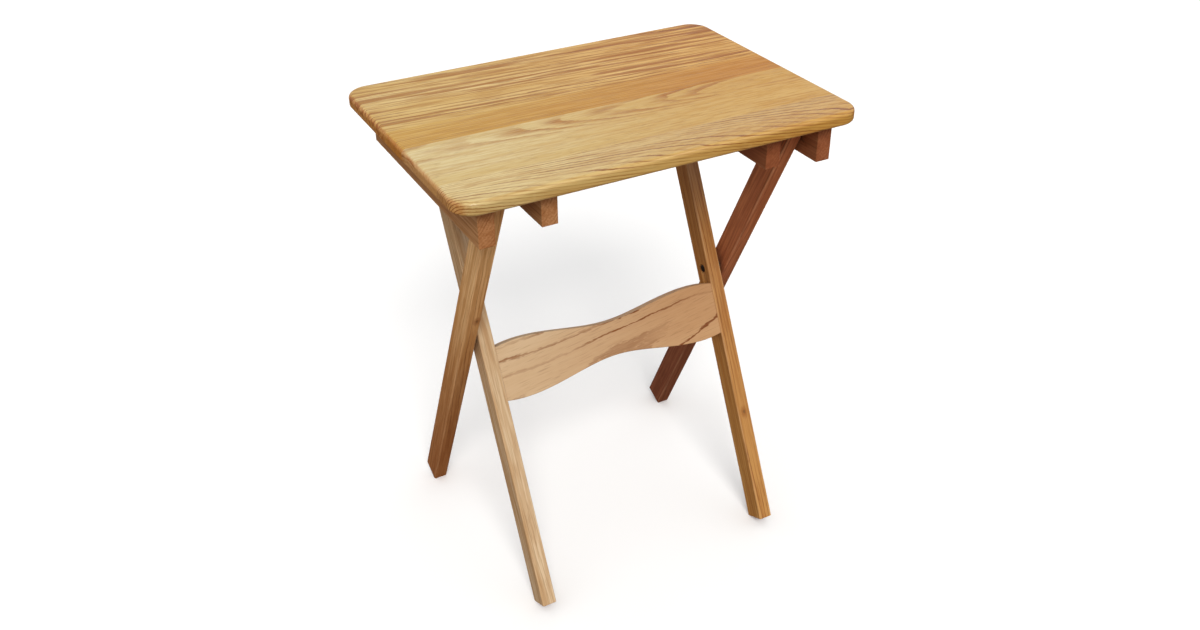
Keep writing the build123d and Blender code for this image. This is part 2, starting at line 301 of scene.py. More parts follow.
@dataclass(frozen=True)
class Oak:
    """Varnished oak with ring figure, open pores, ray flecks, worn arrises with painted highlight glints, a slow
    tone change along the piece that carries painted light and shade, and dark end grain.
    """

    pale: Colour = (0.60, 0.385, 0.115)
    honey: Colour = (0.52, 0.295, 0.065)
    amber: Colour = (0.38, 0.165, 0.022)
    line: Colour = (0.31, 0.115, 0.016)
    pore: Colour = (0.20, 0.085, 0.022)
    end_tint: Colour = (0.92, 0.66, 0.52)
    wear: float = 0.0
    streak: float = 0.5
    roughness: float = 0.42
    coat: float = 0.06
    coat_roughness: float = 0.20
    # Cycles per metre along, across and through the grain.
    CLOUDS = (1.6, 19.0, 19.0)
    STREAKS = (4.0, 105.0, 105.0)
    FIBRES = (16.0, 330.0, 330.0)
    FLECKS = (70.0, 520.0, 60.0)
    PORES = (30.0, 800.0, 800.0)
    PORE_DEPTH = 0.15 * MM
    ARRIS_REACH = (2.8 * MM, 1.2 * MM)
    # Lift towards pale on the arrises: rubbed wear together with painted highlight glints.
    WORN_LIFT = (0.16, 0.12, 0.075)

    def material(self, name: str, grain: Grain) -> bpy.types.Material:
        """Make this oak for one piece.

        Args:
            name: name of the material.
            grain: how the wood lies in the piece.

        Returns:
            The new material.
        """
        shader = Shader(name)
        place = self._grain_place(shader, grain)
        local = self._piece_place(shader, grain)
        early = self._dark_lines(shader, place, grain)
        pores = self._pores(shader, place, early)
        clouds = shader.band(shader.noise(place, self.CLOUDS, 3.0), 0.34, 0.66)
        streaks = shader.band(shader.noise(place, self.STREAKS, 3.0), 0.51, 0.59)
        fibres = shader.band(shader.noise(place, self.FIBRES, 2.0), 0.42, 0.59)
        flecks = shader.band(shader.noise(place, self.FLECKS, 1.0), 0.62, 0.74)
        colour = shader.mix(clouds, self.pale, self.honey)
        colour = shader.mix(shader.math("MULTIPLY", streaks, self.streak), colour, self.amber)
        colour = shader.mix(shader.math("MULTIPLY", fibres, grain.fine), colour, self.amber)
        lines = shader.math("MULTIPLY", early, 0.95 * grain.figure, True)
        colour = shader.mix(lines, colour, self.line)
        colour = shader.mix(shader.math("MULTIPLY", flecks, 0.18), colour, self.pale)
        colour = shader.mix(shader.math("MULTIPLY", pores, 0.60), colour, self.pore)
        colour = self._tinted(shader, colour, local, grain)
        colour = self._worn(shader, colour, local, grain)
        if grain.knot:
            colour = self._knotted(shader, colour, local, grain)
        shader.feed(shader.surface.inputs["Base Color"], colour)
        rough = shader.band(fibres, 0.0, 1.0, self.roughness - 0.05, self.roughness + 0.07)
        shader.feed(shader.surface.inputs["Roughness"], rough)
        shader.surface.inputs["Specular IOR Level"].default_value = 0.26
        shader.surface.inputs["Coat Weight"].default_value = self.coat
        shader.surface.inputs["Coat Roughness"].default_value = self.coat_roughness
        shader.bump(shader.math("SUBTRACT", 1.0, pores), self.PORE_DEPTH, 0.9)
        return shader.material

    @staticmethod
    def _mapped(shader: Shader, turn: Matrix, location: Vector) -> Socket:
        """Object coordinates turned and moved into another frame.

        Args:
            shader: the material in work.
            turn: rotation into the frame.
            location: move after the turn.

        Returns:
            The vector socket.
        """
        coordinates = shader.tree.nodes.new("ShaderNodeTexCoord")
        mapping = shader.tree.nodes.new("ShaderNodeMapping")
        mapping.inputs["Rotation"].default_value = turn.to_euler("XYZ")
        mapping.inputs["Location"].default_value = location
        shader.tree.links.new(coordinates.outputs["Object"], mapping.inputs["Vector"])
        return mapping.outputs["Vector"]

    def _grain_place(self, shader: Shader, grain: Grain) -> Socket:
        """Place in the grain's own frame, with its origin on the pith.

        Args:
            shader: the material in work.
            grain: how the wood lies in the piece.

        Returns:
            The vector socket.
        """
        turn = grain.basis()
        pith = Vector((-grain.seed, grain.pith_across, grain.pith_through))
        return self._mapped(shader, turn, -(turn @ Vector(grain.middle)) - pith)

    def _piece_place(self, shader: Shader, grain: Grain) -> Socket:
        """Place in the piece's frame, with its origin in the piece's middle.

        Args:
            shader: the material in work.
            grain: how the wood lies in the piece.

        Returns:
            The vector socket.
        """
        turn = grain.turn()
        return self._mapped(shader, turn, -(turn @ Vector(grain.middle)))

    @staticmethod
    def _dark_lines(shader: Shader, place: Socket, grain: Grain) -> Socket:
        """Dark early wood of each ring, stronger in some rings and stretches than in others.

        Args:
            shader: the material in work.
            place: place in the grain's frame.
            grain: how the wood lies in the piece.

        Returns:
            The strength of the dark lines, 0 to 1.
        """
        radius = shader.length(shader.vector("MULTIPLY", place, (0.0, 1.0, 1.0)))
        sways = (
            ((3.4, 12.0, 12.0), 1.0, grain.waver * 2.4),
            ((18.0, 70.0, 70.0), 2.0, grain.waver * 0.34),
            ((110.0, 420.0, 420.0), 1.0, grain.ring * 0.22),
        )
        for stretch, detail, size in sways:
            sway = shader.math("SUBTRACT", shader.noise(place, stretch, detail), 0.5)
            radius = shader.math("ADD", radius, shader.math("MULTIPLY", sway, size))
        turns = shader.math("DIVIDE", radius, grain.ring)
        phase = shader.math("FRACT", turns)
        white = shader.tree.nodes.new("ShaderNodeTexWhiteNoise")
        white.noise_dimensions = "1D"
        shader.feed(white.inputs["W"], shader.math("FLOOR", turns))
        tone = shader.band(white.outputs["Value"], 0.0, 1.0, 0.30, 1.0)
        breaks = shader.band(shader.noise(place, (7.0, 45.0, 45.0), 1.0), 0.34, 0.60, 0.25, 1.0)
        rise = shader.band(phase, 0.0, 0.07)
        fall = shader.band(phase, 0.12, grain.line_width, 1.0, 0.0)
        lines = shader.math("MULTIPLY", rise, fall)
        lines = shader.math("MULTIPLY", shader.math("MULTIPLY", lines, tone), breaks)
        away = shader.math("ABSOLUTE", shader.axes(place)[1])
        return shader.math("MULTIPLY", lines, shader.band(away, *grain.reach, 1.0, 0.25))

    def _pores(self, shader: Shader, place: Socket, early: Socket) -> Socket:
        """Short dark pore lines, thick in the early wood of each ring.

        Args:
            shader: the material in work.
            place: place in the grain's frame.
            early: strength of the early wood.

        Returns:
            The strength of the pores, 0 to 1.
        """
        lines = shader.noise(place, self.PORES, 1.0)
        dense = shader.math("MULTIPLY", shader.band(lines, 0.42, 0.60), early)
        sparse = shader.math("MULTIPLY", shader.band(lines, 0.58, 0.72), 0.5)
        return shader.math("MAXIMUM", dense, sparse)

    def _tinted(self, shader: Shader, colour: Socket, local: Socket, grain: Grain) -> Socket:
        """Slow change of tone along the piece, partly the wood's tone and partly painted light and shade, and
        darker end grain.

        Args:
            shader: the material in work.
            colour: colour so far.
            local: place in the piece's frame.
            grain: how the wood lies in the piece.

        Returns:
            The new colour.
        """
        slide = shader.band(shader.axes(local)[0], -grain.half[0], grain.half[0])
        tint = shader.mix(slide, grain.tint_start, grain.tint_end)
        colour = shader.vector("MULTIPLY", colour, tint)
        coordinates = shader.tree.nodes.new("ShaderNodeTexCoord")
        facing = shader.tree.nodes.new("ShaderNodeVectorMath")
        facing.operation = "DOT_PRODUCT"
        shader.feed(facing.inputs[0], coordinates.outputs["Normal"])
        shader.feed(facing.inputs[1], Vector(grain.along).normalized())
        ends = shader.band(shader.math("ABSOLUTE", facing.outputs["Value"]), 0.35, 0.85)
        return shader.vector("MULTIPLY", colour, shader.mix(ends, (1.0, 1.0, 1.0), self.end_tint))

    def _knotted(self, shader: Shader, colour: Socket, local: Socket, grain: Grain) -> Socket:
        """A pin knot with a dark heart and a stained rim.

        Args:
            shader: the material in work.
            colour: colour so far.
            local: place in the piece's frame.
            grain: how the wood lies in the piece, with its knot.

        Returns:
            The new colour.
        """
        away = shader.vector("SUBTRACT", local, grain.knot)
        away = shader.length(shader.vector("MULTIPLY", away, (0.6, 1.0, 0.5)))
        ragged = shader.math("SUBTRACT", shader.noise(local, (300.0, 300.0, 300.0)), 0.5)
        away = shader.math("ADD", away, shader.math("MULTIPLY", ragged, 3.0 * MM))
        size = grain.knot_radius
        for outer, inner, strength, tone in ((2.4, 0.8, 0.7, self.line), (0.8, 0.3, 0.9, self.pore)):
            reach = shader.band(away, size * outer, size * inner, 0.0, strength)
            colour = shader.mix(reach, colour, tone)
        return colour

    def _worn(self, shader: Shader, colour: Socket, local: Socket, grain: Grain) -> Socket:
        """Arrises lightened in patches along the piece: partly rubbed wear, partly painted highlight glints on the
        rounded edges.

        Args:
            shader: the material in work.
            colour: colour so far.
            local: place in the piece's frame.
            grain: how the wood lies in the piece.

        Returns:
            The new colour.
        """
        _, across, through = shader.axes(local)
        # On the front board only the front arris gets the pale patches: a painted highlight glint there.
        if grain.front_worn:
            across = shader.math("MULTIPLY", across, -1.0)
        else:
            across = shader.math("ABSOLUTE", across)
        through = shader.math("ABSOLUTE", through)
        start, full = self.ARRIS_REACH
        rims = [
            shader.band(away, size - start, size - full)
            for away, size in ((across, grain.half[1]), (through, grain.half[2]))
        ]
        # Pale patches along the arrises: partly rubbed wear, partly painted highlight glints.
        patches = shader.band(shader.noise(local, (14.0, 220.0, 220.0), 3.0), 0.30, 0.66, 0.10, 1.0)
        rubbed_and_glint = shader.math("MULTIPLY", shader.math("MULTIPLY", *rims), patches)
        pale = shader.vector("MULTIPLY_ADD", colour, (0.90, 0.90, 0.90))
        pale.node.inputs[2].default_value = self.WORN_LIFT
        return shader.mix(shader.math("MULTIPLY", rubbed_and_glint, self.wear), colour, pale)


@dataclass(frozen=True)
class Metal:
    """Metal with a fine tooled or plated surface."""

    colour: Colour
    roughness: float
    metallic: float = 1.0
    speckle: float = 0.15

    def material(self, name: str) -> bpy.types.Material:
        """Make this metal's material.

        Args:
            name: name of the material.

        Returns:
            The new material.
        """
        shader = Shader(name)
        place = shader.tree.nodes.new("ShaderNodeTexCoord").outputs["Object"]
        fine = shader.noise(place, (2600.0, 900.0, 900.0), 2.0)
        dark = tuple(channel * (1.0 - self.speckle) for channel in self.colour)
        colour = shader.mix(shader.band(fine, 0.35, 0.65), dark, self.colour)
        shader.feed(shader.surface.inputs["Base Color"], colour)
        rough = shader.band(fine, 0.3, 0.7, self.roughness - 0.06, self.roughness + 0.08)
        shader.feed(shader.surface.inputs["Roughness"], rough)
        shader.surface.inputs["Metallic"].default_value = self.metallic
        shader.bump(fine, 0.02 * MM, 0.5)
        return shader.material


# ------------------------------------------------------------------- mesh helpers
def plain_object(name: str, mesh: bpy.types.Mesh) -> bpy.types.Object:
    """Link a mesh to the scene as an object at the origin.

    Args:
        name: name of the piece.
        mesh: its mesh, already in place.

    Returns:
        The new object.
    """
    piece = bpy.data.objects.new(name, mesh)
    bpy.context.scene.collection.objects.link(piece)
    return piece


def mesh_from(bm: bmesh.types.BMesh, name: str) -> bpy.types.Mesh:
    """Turn a bmesh into a closed, smoothly shaded mesh with outward normals.

    Args:
        bm: the bmesh, freed here.
        name: name of the mesh.

    Returns:
        The mesh.
    """
    bmesh.ops.remove_doubles(bm, verts=bm.verts, dist=1e-7)
    bmesh.ops.recalc_face_normals(bm, faces=bm.faces)
    mesh = bpy.data.meshes.new(name)
    bm.to_mesh(mesh)
    bm.free()
    mesh.shade_smooth()
    mesh.set_sharp_from_angle(angle=math.radians(SHARP_EDGE_DEG))
    return mesh


def owner(node: str) -> str:
    """Body that a CAD node belongs to.

    Args:
        node: the CAD node.

    Returns:
        The name of its body.
    """
    bodies = frame["record"]["behaviour"]["bodies"]
    return next(body for body, nodes in bodies.items() if node in nodes)


def claim(piece: bpy.types.Object, node: str, material: bpy.types.Material) -> None:
    """Let a finished piece stand for its CAD node.

    Args:
        piece: the piece.
        node: the CAD node it replaces, which gives its body.
        material: its material.
    """
    piece.data.materials.clear()
    piece.data.materials.append(material)
    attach(piece, owner(node))
    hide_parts(node)
    LOG.info("built %s, %d faces", piece.name, len(piece.data.polygons))


def refined(node: str) -> bpy.types.Object:
    """Copy a CAD node as a welded mesh, with smooth rounds between flat faces.

    Args:
        node: the CAD node.

    Returns:
        The new object.
    """
    bm = bmesh.new()
    bm.from_mesh(frame["nodes"][node].data)
    bmesh.ops.remove_doubles(bm, verts=bm.verts, dist=1e-6)
    mesh = bpy.data.meshes.new(f"{node}_rough")
    bm.to_mesh(mesh)
    bm.free()
    mesh.shade_smooth()
    mesh.set_sharp_from_angle(angle=math.radians(SHARP_WOOD_DEG))
    rough = plain_object(f"{node}_rough", mesh)
    weigh = rough.modifiers.new("normals", "WEIGHTED_NORMAL")
    weigh.keep_sharp = True
    weigh.weight = FLAT_FACE_WEIGHT
    graph = bpy.context.evaluated_depsgraph_get()
    made = bpy.data.meshes.new_from_object(rough.evaluated_get(graph))
    bpy.data.objects.remove(rough)
    return plain_object(f"{node}_oak", made)


def turned(
    name: str, outline: Callable[[float], Outline], center: Vector, side: Side, ring: bool, steps: int
) -> bpy.types.Object:
    """A part drawn round a line along X.

    Args:
        name: name of the piece.
        outline: gives (distance along X from the middle plane, radius) pairs for an angle.
        center: a point on the axis; only Y and Z are read.
        side: which end of the table.
        ring: whether the outline closes on itself, or else starts and ends on the axis.
        steps: flats round the axis.

    Returns:
        The new object.
    """
    bm = bmesh.new()
    loops = []
    for step in range(steps):
        angle = 2.0 * math.pi * step / steps
        y, z = math.cos(angle), math.sin(angle)
        loops.append([
            bm.verts.new((side.value * x, center.y + radius * y, center.z + radius * z))
            for x, radius in outline(angle)
        ])
    count = len(loops[0])
    for here, after in zip(loops, loops[1:] + loops[:1]):
        for i in range(count if ring else count - 1):
            j = (i + 1) % count
            bm.faces.new([here[i], here[j], after[j], after[i]])
    bmesh.ops.remove_doubles(bm, verts=bm.verts, dist=1e-7)
    bmesh.ops.dissolve_degenerate(bm, dist=1e-8, edges=bm.edges)
    return plain_object(name, mesh_from(bm, name))


def hexagon(flat: float, angle: float) -> float:
    """Radius of a hexagon at an angle.

    Args:
        flat: half of its width across flats.
        angle: angle from the middle of a flat, in radians.

    Returns:
        The radius.
    """
    turn = math.pi / 3.0
    return flat / math.cos((angle + turn / 2.0) % turn - turn / 2.0)


def joint_place(name: str) -> Vector:
    """Place of a joint's axis.

    Args:
        name: name of the joint.

    Returns:
        A point on the axis.
    """
    return next(Vector(joint["pos_m"]) for joint in frame["joints"] if joint["name"] == name)


def grain_in(
    node: str, along: Point, face: Point, pith: tuple[float, float], **changes: object
) -> Grain:
    """Grain of a piece that lies square to the table's axes.

    Args:
        node: CAD node of the piece.
        along: direction of its grain.
        face: direction of its wide face.
        pith: how far the pith lies across and through, from the piece's middle.
        changes: other fields of the grain.

    Returns:
        The grain.
    """
    low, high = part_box(node)
    middle = (low + high) / 2.0
    turn = Grain(tuple(middle), (0, 0, 0), along, face, 0, 0).turn()
    half = turn @ ((high - low) / 2.0)
    return Grain(tuple(middle), tuple(abs(size) for size in half), along, face, *pith, **changes)


# -------------------------------------------------------------------------- top
@dataclass
class Top:
    """The edge-glued boards, the four cleats under them and the two leg stops."""

    back_oak: Oak = Oak(
        pale=(0.66, 0.44, 0.145), honey=(0.55, 0.315, 0.068), amber=(0.34, 0.135, 0.017),
        line=(0.27, 0.092, 0.012), streak=0.95,
    )
    middle_oak: Oak = Oak(
        pale=(0.56, 0.315, 0.062), honey=(0.50, 0.245, 0.034), amber=(0.40, 0.165, 0.016),
    )
    wide_oak: Oak = Oak(
        pale=(0.61, 0.44, 0.175), honey=(0.56, 0.375, 0.120), amber=(0.46, 0.245, 0.050),
        line=(0.40, 0.17, 0.030), streak=0.20,
    )
    # The front board's pale patches along its front arris are a painted highlight: glints of light on the rounded
    # edge.
    front_oak: Oak = Oak(
        pale=(0.62, 0.430, 0.150), honey=(0.55, 0.350, 0.098), line=(0.27, 0.10, 0.016),
        streak=0.35, wear=1.6, coat=0.30, coat_roughness=0.14,
    )
    left_rail_oak: Oak = Oak(
        pale=(0.56, 0.32, 0.150), honey=(0.49, 0.25, 0.105), amber=(0.36, 0.155, 0.050),
        line=(0.28, 0.105, 0.030), end_tint=(0.88, 0.76, 0.70), wear=0.6,
    )
    # Darker oak for the right end: painted shade from the top and from light falling off to the right.
    right_rail_oak: Oak = Oak(
        pale=(0.40, 0.160, 0.070), honey=(0.34, 0.120, 0.050), amber=(0.25, 0.080, 0.030),
        line=(0.19, 0.055, 0.022), end_tint=(0.88, 0.76, 0.70), wear=0.5,
    )
    # Tone along the top, on top of the wood's own tone: paler and greyer at the left as a painted sheen, darker
    # and redder at the right as painted light falloff.
    left_tint: Colour = (1.03, 1.16, 1.50)
    right_tint: Colour = (0.965, 0.82, 0.60)

    def boards(self) -> None:
        """Dress the four boards, each sawn from another part of its log."""
        choices = {
            "top_board_back": (self.back_oak, (0.125, -0.100), dict(
                slope_deg=2.8, dive_deg=0.6, ring=0.0068, waver=0.013, figure=1.5, line_width=0.30,
                fine=0.56, seed=3.1,
            )),
            "top_board_middle": (self.middle_oak, (0.210, -0.030), dict(
                # The middle board's left end is painted paler still: painted sheen.
                slope_deg=0.4, ring=0.0040, figure=0.6, tint_start=(1.05, 1.23, 1.65), seed=7.7,
            )),
            "top_board_wide": (self.wide_oak, (0.036, -0.034), dict(
                dive_deg=4.4, ring=0.0056, waver=0.010, figure=1.3, line_width=0.85,
                reach=(0.016, 0.036), fine=0.3, seed=1.9,
            )),
            "top_board_front": (self.front_oak, (-0.030, -0.050), dict(
                dive_deg=-6.5, ring=0.0036, waver=0.005, figure=1.6, line_width=0.42, fine=0.25,
                front_worn=True, seed=5.2,
            )),
        }
        for node, (oak, pith, changes) in choices.items():
            tints = dict(tint_start=self.left_tint, tint_end=self.right_tint) | changes
            grain = grain_in(node, (1, 0, 0), (0, 0, 1), pith, **tints)
            claim(refined(node), node, oak.material(f"oak_{node}", grain))

    def rails(self) -> None:
        """Dress the cleats and the stops; the right end's darker oak is painted shade, where the top shades it and
        the light falls off.
        """
        for side, oak in ((Side.LEFT, self.left_rail_oak), (Side.RIGHT, self.right_rail_oak)):
            lie = {
                f"outer_cleat_{side.label}": ((0, 1, 0), (1, 0, 0)),
                f"inner_cleat_{side.label}": ((0, 1, 0), (1, 0, 0)),
                f"leg_stop_{side.label}": ((1, 0, 0), (0, 1, 0)),
            }
            for count, (node, (along, face)) in enumerate(lie.items()):
                grain = grain_in(
                    node, along, face, (0.050, -0.085), ring=0.0038, slope_deg=1.2, figure=0.7,
                    seed=2.0 * count + side.value,
                )
                claim(refined(node), node, oak.material(f"oak_{node}", grain))


# -------------------------------------------------------------------------- legs
@dataclass(frozen=True)
class Stick:
    """What sets one leg's wood apart from the others', with painted light and shade towards its foot and tip."""

    node: str
    lean_to: int
    oak: Oak
    pith: tuple[float, float]
    foot_tint: Colour
    tip_tint: Colour
    knot: Point | None
    seed: float


@dataclass
class Legs:
    """Two crossed pairs of legs, each leg from its own stick of oak; the right legs' darker oaks are partly
    painted shade and the inner left leg's paler oak partly painted light.
    """

    half: Point = (0.335, 0.01025, 0.017)
    middle_below_pivot: float = 0.040
    brown: Oak = Oak(
        pale=(0.66, 0.38, 0.160), honey=(0.57, 0.29, 0.105), amber=(0.40, 0.165, 0.042),
        line=(0.32, 0.110, 0.025), wear=0.9,
    )
    # Outer right leg: darker reddish oak, mostly painted shade from light falling off to the right.
    russet: Oak = Oak(
        pale=(0.42, 0.155, 0.062), honey=(0.35, 0.115, 0.045), amber=(0.24, 0.070, 0.025),
        line=(0.18, 0.05, 0.02), wear=0.9,
    )
    # Inner left leg: pale oak, partly the wood and partly a painted reflection of light on its front face.
    blond: Oak = Oak(
        pale=(0.65, 0.49, 0.31), honey=(0.57, 0.40, 0.225), amber=(0.42, 0.220, 0.080),
        line=(0.36, 0.17, 0.055), wear=0.7,
    )
    # Inner right leg: orange oak, partly the wood and partly painted shade from light falling off to the right.
    orange: Oak = Oak(
        pale=(0.54, 0.29, 0.090), honey=(0.48, 0.225, 0.055), amber=(0.35, 0.130, 0.022),
        line=(0.29, 0.095, 0.016), wear=1.0,
    )

    def sticks(self) -> tuple[Stick, ...]:
        """List the sticks; the outer legs lean to the front, the inner legs to the back.

        Returns:
            The four sticks.
        """
        plain = (1.0, 1.0, 1.0)
        # Foot tints are painted shade under the table; tip tints are painted light on the outer legs and the
        # painted shadow of the top on the inner right leg.
        return (
            Stick("outer_leg_left", -1, self.brown, (0.055, -0.060), (0.62, 0.46, 0.38),
                  (1.38, 1.58, 1.80), (0.104, 0.005, -0.017), 1.1),
            Stick("outer_leg_right", -1, self.russet, (0.040, 0.070), (0.58, 0.50, 0.60),
                  (1.48, 1.50, 1.60), None, 2.4),
            Stick("inner_leg_left", 1, self.blond, (0.060, -0.075), plain, plain, None, 3.6),
            Stick("inner_leg_right", 1, self.orange, (-0.050, -0.060), plain,
                  (0.85, 0.80, 0.95), (-0.183, 0.0, -0.017), 4.7),
        )

    def dress(self) -> None:
        """Dress the four legs."""
        for stick in self.sticks():
            low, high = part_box(stick.node)
            along = (0.0, stick.lean_to * math.sin(LEG_LEAN), math.cos(LEG_LEAN))
            face = (0.0, math.cos(LEG_LEAN), -stick.lean_to * math.sin(LEG_LEAN))
            middle = joint_place("leg_fold") - Vector(along) * self.middle_below_pivot
            grain = Grain(
                ((low.x + high.x) / 2.0, middle.y, middle.z), self.half, along, face, *stick.pith,
                ring=0.0040, slope_deg=0.5, dive_deg=0.35, figure=0.9, waver=0.006, line_width=0.40,
                tint_start=stick.foot_tint, tint_end=stick.tip_tint, knot=stick.knot, seed=stick.seed,
            )
            claim(refined(stick.node), stick.node, stick.oak.material(f"oak_{stick.node}", grain))


# --------------------------------------------------------------------- stretcher
@dataclass
class Stretcher:
    """The wavy stretcher between the inner legs, and its hidden dowels."""

    oak: Oak = Oak(
        pale=(0.64, 0.470, 0.290), honey=(0.59, 0.410, 0.240), amber=(0.46, 0.265, 0.125),
        line=(0.25, 0.092, 0.026), streak=0.08,
    )
    beech: Oak = Oak(
        pale=(0.66, 0.47, 0.29), honey=(0.62, 0.43, 0.25), amber=(0.54, 0.34, 0.18), coat=0.0,
        streak=0.1,
    )

    def dress(self) -> None:
        """Give the stretcher a plain-sawn face and the dowels a pale turned finish."""
        face = (0.0, -math.cos(LEG_LEAN), math.sin(LEG_LEAN))
        grain = grain_in(
            "stretcher", (1, 0, 0), face, (-0.030, -0.060), ring=0.0150, slope_deg=-7.0,
            dive_deg=-1.4, waver=0.020, figure=1.5, line_width=0.20, fine=0.12,
            # Darker and redder towards the right end: painted light falloff on top of the wood's tone.
            tint_start=(1.0, 0.99, 0.97), tint_end=(0.82, 0.64, 0.49), seed=2.2,
        )
        claim(refined("stretcher"), "stretcher", self.oak.material("oak_stretcher", grain))
        grain = grain_in("stretcher_dowels", (1, 0, 0), face, (0.03, -0.04), ring=0.002, figure=0.3)
        beech = self.beech.material("beech_dowels", grain)
        claim(refined("stretcher_dowels"), "stretcher_dowels", beech)


# ---------------------------------------------------------------------- hardware
@dataclass
class Hardware:
    """Pivot bolts, washers, spacers and threaded inserts."""

    black: Metal = Metal((0.045, 0.042, 0.040), 0.42)
    brass: Metal = Metal((0.70, 0.50, 0.20), 0.30)
    nylon: Metal = Metal((0.055, 0.045, 0.036), 0.55, metallic=0.0, speckle=0.3)
    shank_radius: float = 3.0 * MM
    ring_bore: float = 3.1 * MM
    tip_chamfer: float = 0.8 * MM
    hexagon_flat: float = 5.0 * MM
    hexagon_height: float = 4.0 * MM
    dome_radius: float = 7.0 * MM
    dome_height: float = 3.2 * MM
    dome_rim: float = 0.7 * MM
    socket_flat: float = 2.0 * MM
    socket_depth: float = 1.8 * MM

    def build(self) -> None:
        """Build every fitting at both ends of the table."""
        black = self.black.material("black_oxide_steel")
        brass = self.brass.material("machined_brass")
        nylon = self.nylon.material("moulded_nylon")
        cross, hinge = joint_place("leg_fold"), joint_place("top_tilt")
        for side in Side:
            for kind, center, shape in (
                ("cross", cross, self.hexagon_head), ("top", hinge, self.domed_head)
            ):
                self.ring(f"{kind}_spacer_{side.label}", side, center, nylon, 0.8 * MM)
                self.ring(f"{kind}_insert_{side.label}", side, center, brass, 0.4 * MM)
                self.bolt(f"{kind}_bolt_{side.label}", side, center, black, shape)
            self.ring(f"cross_washer_{side.label}", side, cross, black, 0.35 * MM)

    def ring(
        self, node: str, side: Side, center: Vector, material: bpy.types.Material, ease: float
    ) -> None:
        """Build a washer, spacer or insert with eased outer corners, sized from its CAD node.

        Args:
            node: CAD node.
            side: which end of the table.
            center: a point on the axis.
            material: its material.
            ease: size of the eased corners.
        """
        low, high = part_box(node)
        start, end = sorted((abs(low.x), abs(high.x)))
        inner, outer = self.ring_bore, (high.z - low.z) / 2.0
        edge = ease * 0.3
        outline = [
            (start, inner), (start, outer - ease), (start + edge, outer - edge),
            (start + ease, outer), (end - ease, outer), (end - edge, outer - edge),
            (end, outer - ease), (end, inner),
        ]
        piece = turned(f"{node}_part", lambda angle: outline, center, side, ring=True, steps=48)
        claim(piece, node, material)

    def bolt(
        self, node: str, side: Side, center: Vector, material: bpy.types.Material,
        head: Callable[[float, float], Outline],
    ) -> None:
        """Build a pivot bolt, placed along its axis by its CAD node.

        Args:
            node: CAD node.
            side: which end of the table.
            center: a point on the axis.
            material: its material.
            head: gives the head's outline for where it starts and an angle.
        """
        low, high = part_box(node)
        near, far = sorted((abs(low.x), abs(high.x)))
        shank, tip = self.shank_radius, self.tip_chamfer

        def outline(angle: float) -> Outline:
            """Outline of the whole bolt.

            Args:
                angle: angle round the axis, in radians.

            Returns:
                The outline, from the head's face to the bolt's end.
            """
            top = head(near, angle)
            return [*top, (top[-1][0], shank), (far - tip, shank), (far, shank - tip), (far, 0.0)]

        piece = turned(f"{node}_part", outline, center, side, ring=False, steps=60)
        claim(piece, node, material)

    def hexagon_head(self, near: float, angle: float) -> Outline:
        """Outline of a hexagon head, its rim rounded off towards the six corners.

        Args:
            near: |X| of the head's face.
            angle: angle round the axis, in radians.

        Returns:
            The outline, from the axis to the head's underside.
        """
        flat, far = self.hexagon_flat, near + self.hexagon_height
        rim, corner = hexagon(flat, angle), hexagon(flat, math.pi / 6.0)
        rise = 0.16 * MM + (rim - flat) / (corner - flat) * 0.75 * MM
        return [
            (near, 0.0), (near, flat * 0.90), (near + 0.12 * MM, flat * 0.955), (near + rise, rim),
            (far - 0.1 * MM, rim), (far, rim - 0.1 * MM),
        ]

    def domed_head(self, near: float, angle: float) -> Outline:
        """Outline of a low domed head with a hexagon socket.

        Args:
            near: |X| of the head's face.
            angle: angle round the axis, in radians.

        Returns:
            The outline, from the socket's floor to the head's underside.
        """
        socket, far = hexagon(self.socket_flat, angle), near + self.dome_height
        crown = self.socket_flat * 1.35
        rise, spread = self.dome_height - self.dome_rim, self.dome_radius - crown
        turns = [step * math.pi / 12.0 for step in range(7)]
        dome = [
            (near + rise * (1.0 - math.cos(turn)), crown + spread * math.sin(turn)) for turn in turns
        ]
        return [
            (near + self.socket_depth, 0.0), (near + self.socket_depth, socket),
            (near + 0.1 * MM, socket), *dome, (far - 0.15 * MM, self.dome_radius),
            (far, self.dome_radius - 0.15 * MM),
        ]


